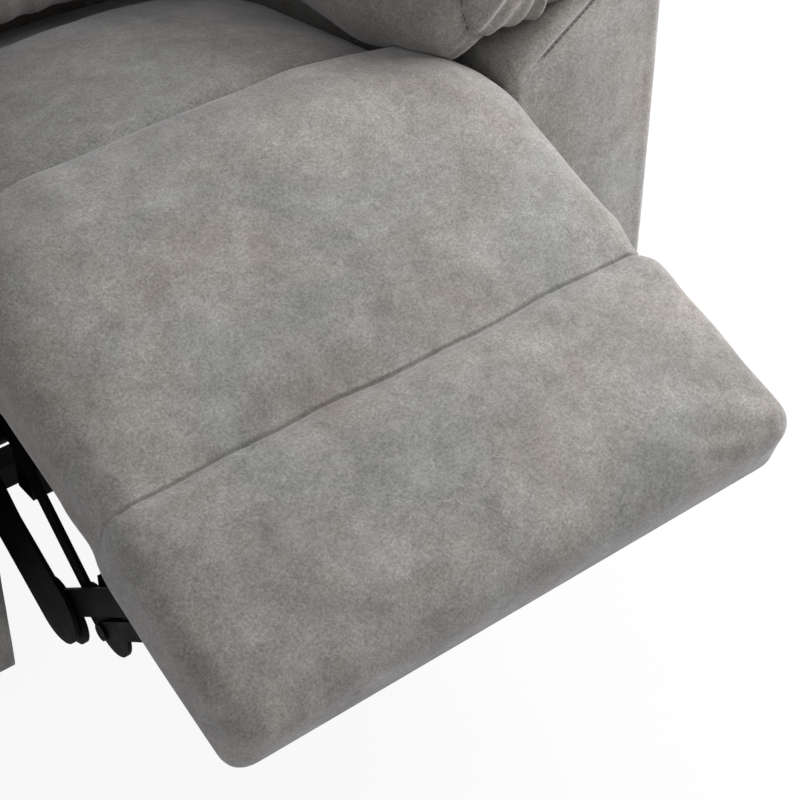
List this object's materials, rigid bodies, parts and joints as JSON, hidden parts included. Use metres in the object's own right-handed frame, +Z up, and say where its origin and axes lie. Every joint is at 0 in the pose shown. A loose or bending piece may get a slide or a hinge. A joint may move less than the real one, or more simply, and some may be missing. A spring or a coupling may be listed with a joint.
{
  "type": "power recliner chair",
  "caption": "Upholstered power recliner with pillow arms and a chaise pad, shown with its leg rest raised on an exposed scissor linkage; back and leg rest move.",
  "frame": {"origin": "centre of the box round the chair, at floor level, with the leg rest raised and the back upright", "axes": "+X to the sitter's left, +Y to the rear, +Z up"},
  "size_m": [0.9425, 1.1083, 1.0289],
  "materials": {
    "suede": "suede-like upholstery cloth, taupe grey",
    "dark_cloth": "dark covering cloth",
    "black_steel": "black powder coat",
    "zinc": "zinc plated",
    "black_plastic": "fine satin",
    "grey_plastic": "satin",
    "wood": "bare softwood",
    "webbing": "elastic webbing"
  },
  "bodies": {
    "base": {"arm_cover_left": "suede", "arm_cover_right": "suede", "arm_frame_left": "wood", "arm_frame_right": "wood", "arm_pad_left": "suede", "arm_pad_right": "suede", "base_plate_left": "black_steel", "base_plate_right": "black_steel", "base_front_tube": "black_steel", "base_rear_tube": "black_steel", "glides": "black_plastic", "base_bolts": "zinc", "control_plate": "black_plastic", "power_inlet": "black_plastic"},
    "swing_links": {"swing_link_left": "black_steel", "swing_link_right": "black_steel"},
    "seat": {"seat_plate_left": "black_steel", "seat_plate_right": "black_steel", "seat_frame": "wood", "seat_front_board": "dark_cloth", "seat_front_tube": "black_steel", "seat_mid_tube": "black_steel", "seat_rear_tube": "black_steel", "seat_springs": "zinc", "seat_cushion": "suede", "chaise_rear": "suede", "leg_motor": "black_plastic", "back_motor": "black_plastic"},
    "back": {"back_bracket_left": "black_steel", "back_bracket_right": "black_steel", "back_tube": "black_steel", "back_frame": "wood", "back_webbing": "webbing", "back_cover": "suede", "lumbar_cushion": "suede", "middle_cushion": "suede", "head_cushion": "suede"},
    "footrest": {"leg_bracket_left": "black_steel", "leg_bracket_right": "black_steel", "leg_cross_rail": "black_steel", "leg_board": "dark_cloth", "chaise_front": "suede", "footrest_pad": "suede"},
    "rear_links": {"rear_link_left": "black_steel", "rear_link_right": "black_steel", "torque_tube": "black_steel"},
    "cross_links": {"cross_link_left": "black_steel", "cross_link_right": "black_steel"},
    "front_links": {"front_link_left": "black_steel", "front_link_right": "black_steel", "tie_tube": "black_steel"},
    "toe_links": {"toe_link_left": "black_steel", "toe_link_right": "black_steel"},
    "leg_rod_slider": {"leg_rod": "zinc"},
    "back_rod_slider": {"back_rod": "zinc"},
    "leg_up_button": {"button_leg_up": "grey_plastic"},
    "leg_down_button": {"button_leg_down": "grey_plastic"},
    "back_down_button": {"button_back_down": "grey_plastic"},
    "back_up_button": {"button_back_up": "grey_plastic"}
  },
  "joints": [
    {"name": "back_recline", "type": "hinge", "parent": "base", "child": "back", "pos_m": [0, 0.25972, 0.4606], "axis": [-1, 0, 0], "range_deg": [0, 35]},
    {"name": "swing_links_turn", "type": "hinge", "parent": "base", "child": "swing_links", "pos_m": [0, 0.03972, 0.3526], "axis": [-1, 0, 0], "range_deg": [0, 35]},
    {"name": "seat_hang", "type": "hinge", "parent": "swing_links", "child": "seat", "pos_m": [0, 0.06828, 0.262], "axis": [-1, 0, 0], "range_deg": [-35, 0]},
    {"name": "footrest_fold", "type": "hinge", "parent": "seat", "child": "footrest", "pos_m": [0, -0.22372, 0.40446], "axis": [1, 0, 0], "range_deg": [0, 68.5]},
    {"name": "rear_links_turn", "type": "hinge", "parent": "seat", "child": "rear_links", "pos_m": [0, -0.06864, 0.27767], "axis": [1, 0, 0], "range_deg": [0, 68.5]},
    {"name": "cross_links_turn", "type": "hinge", "parent": "rear_links", "child": "cross_links", "pos_m": [0, -0.21372, 0.14], "axis": [1, 0, 0], "range_deg": [-68.5, 0]},
    {"name": "front_links_turn", "type": "hinge", "parent": "seat", "child": "front_links", "pos_m": [0, -0.11516, 0.31571], "axis": [1, 0, 0], "range_deg": [0, 68.5]},
    {"name": "toe_links_turn", "type": "hinge", "parent": "front_links", "child": "toe_links", "pos_m": [0, -0.28815, 0.16704], "axis": [1, 0, 0], "range_deg": [-68.5, 0]},
    {"name": "leg_rod_slide", "type": "slide", "parent": "seat", "child": "leg_rod_slider", "axis": [0, 1, 0], "range_m": [0, 0.0901]},
    {"name": "back_rod_slide", "type": "slide", "parent": "seat", "child": "back_rod_slider", "axis": [0, -1, 0], "range_m": [0, 0.05117]},
    {"name": "leg_up_press", "type": "slide", "parent": "base", "child": "leg_up_button", "axis": [1, 0, 0], "range_m": [0, 0.0015], "stiffness_N_per_m": 400, "springref_m": -0.001},
    {"name": "leg_down_press", "type": "slide", "parent": "base", "child": "leg_down_button", "axis": [1, 0, 0], "range_m": [0, 0.0015], "stiffness_N_per_m": 400, "springref_m": -0.001},
    {"name": "back_down_press", "type": "slide", "parent": "base", "child": "back_down_button", "axis": [1, 0, 0], "range_m": [0, 0.0015], "stiffness_N_per_m": 400, "springref_m": -0.001},
    {"name": "back_up_press", "type": "slide", "parent": "base", "child": "back_up_button", "axis": [1, 0, 0], "range_m": [0, 0.0015], "stiffness_N_per_m": 400, "springref_m": -0.001}
  ],
  "couplings": [
    {"joint": "swing_links_turn", "follows": "back_recline", "ratio": 1},
    {"joint": "seat_hang", "follows": "back_recline", "ratio": -1},
    {"joint": "rear_links_turn", "follows": "footrest_fold", "ratio": 1},
    {"joint": "cross_links_turn", "follows": "footrest_fold", "ratio": -1},
    {"joint": "front_links_turn", "follows": "footrest_fold", "ratio": 1},
    {"joint": "toe_links_turn", "follows": "footrest_fold", "ratio": -1},
    {"joint": "leg_rod_slide", "follows": "footrest_fold", "m_per_rad": 0.07531},
    {"joint": "back_rod_slide", "follows": "back_recline", "m_per_rad": 0.08367}
  ]
}
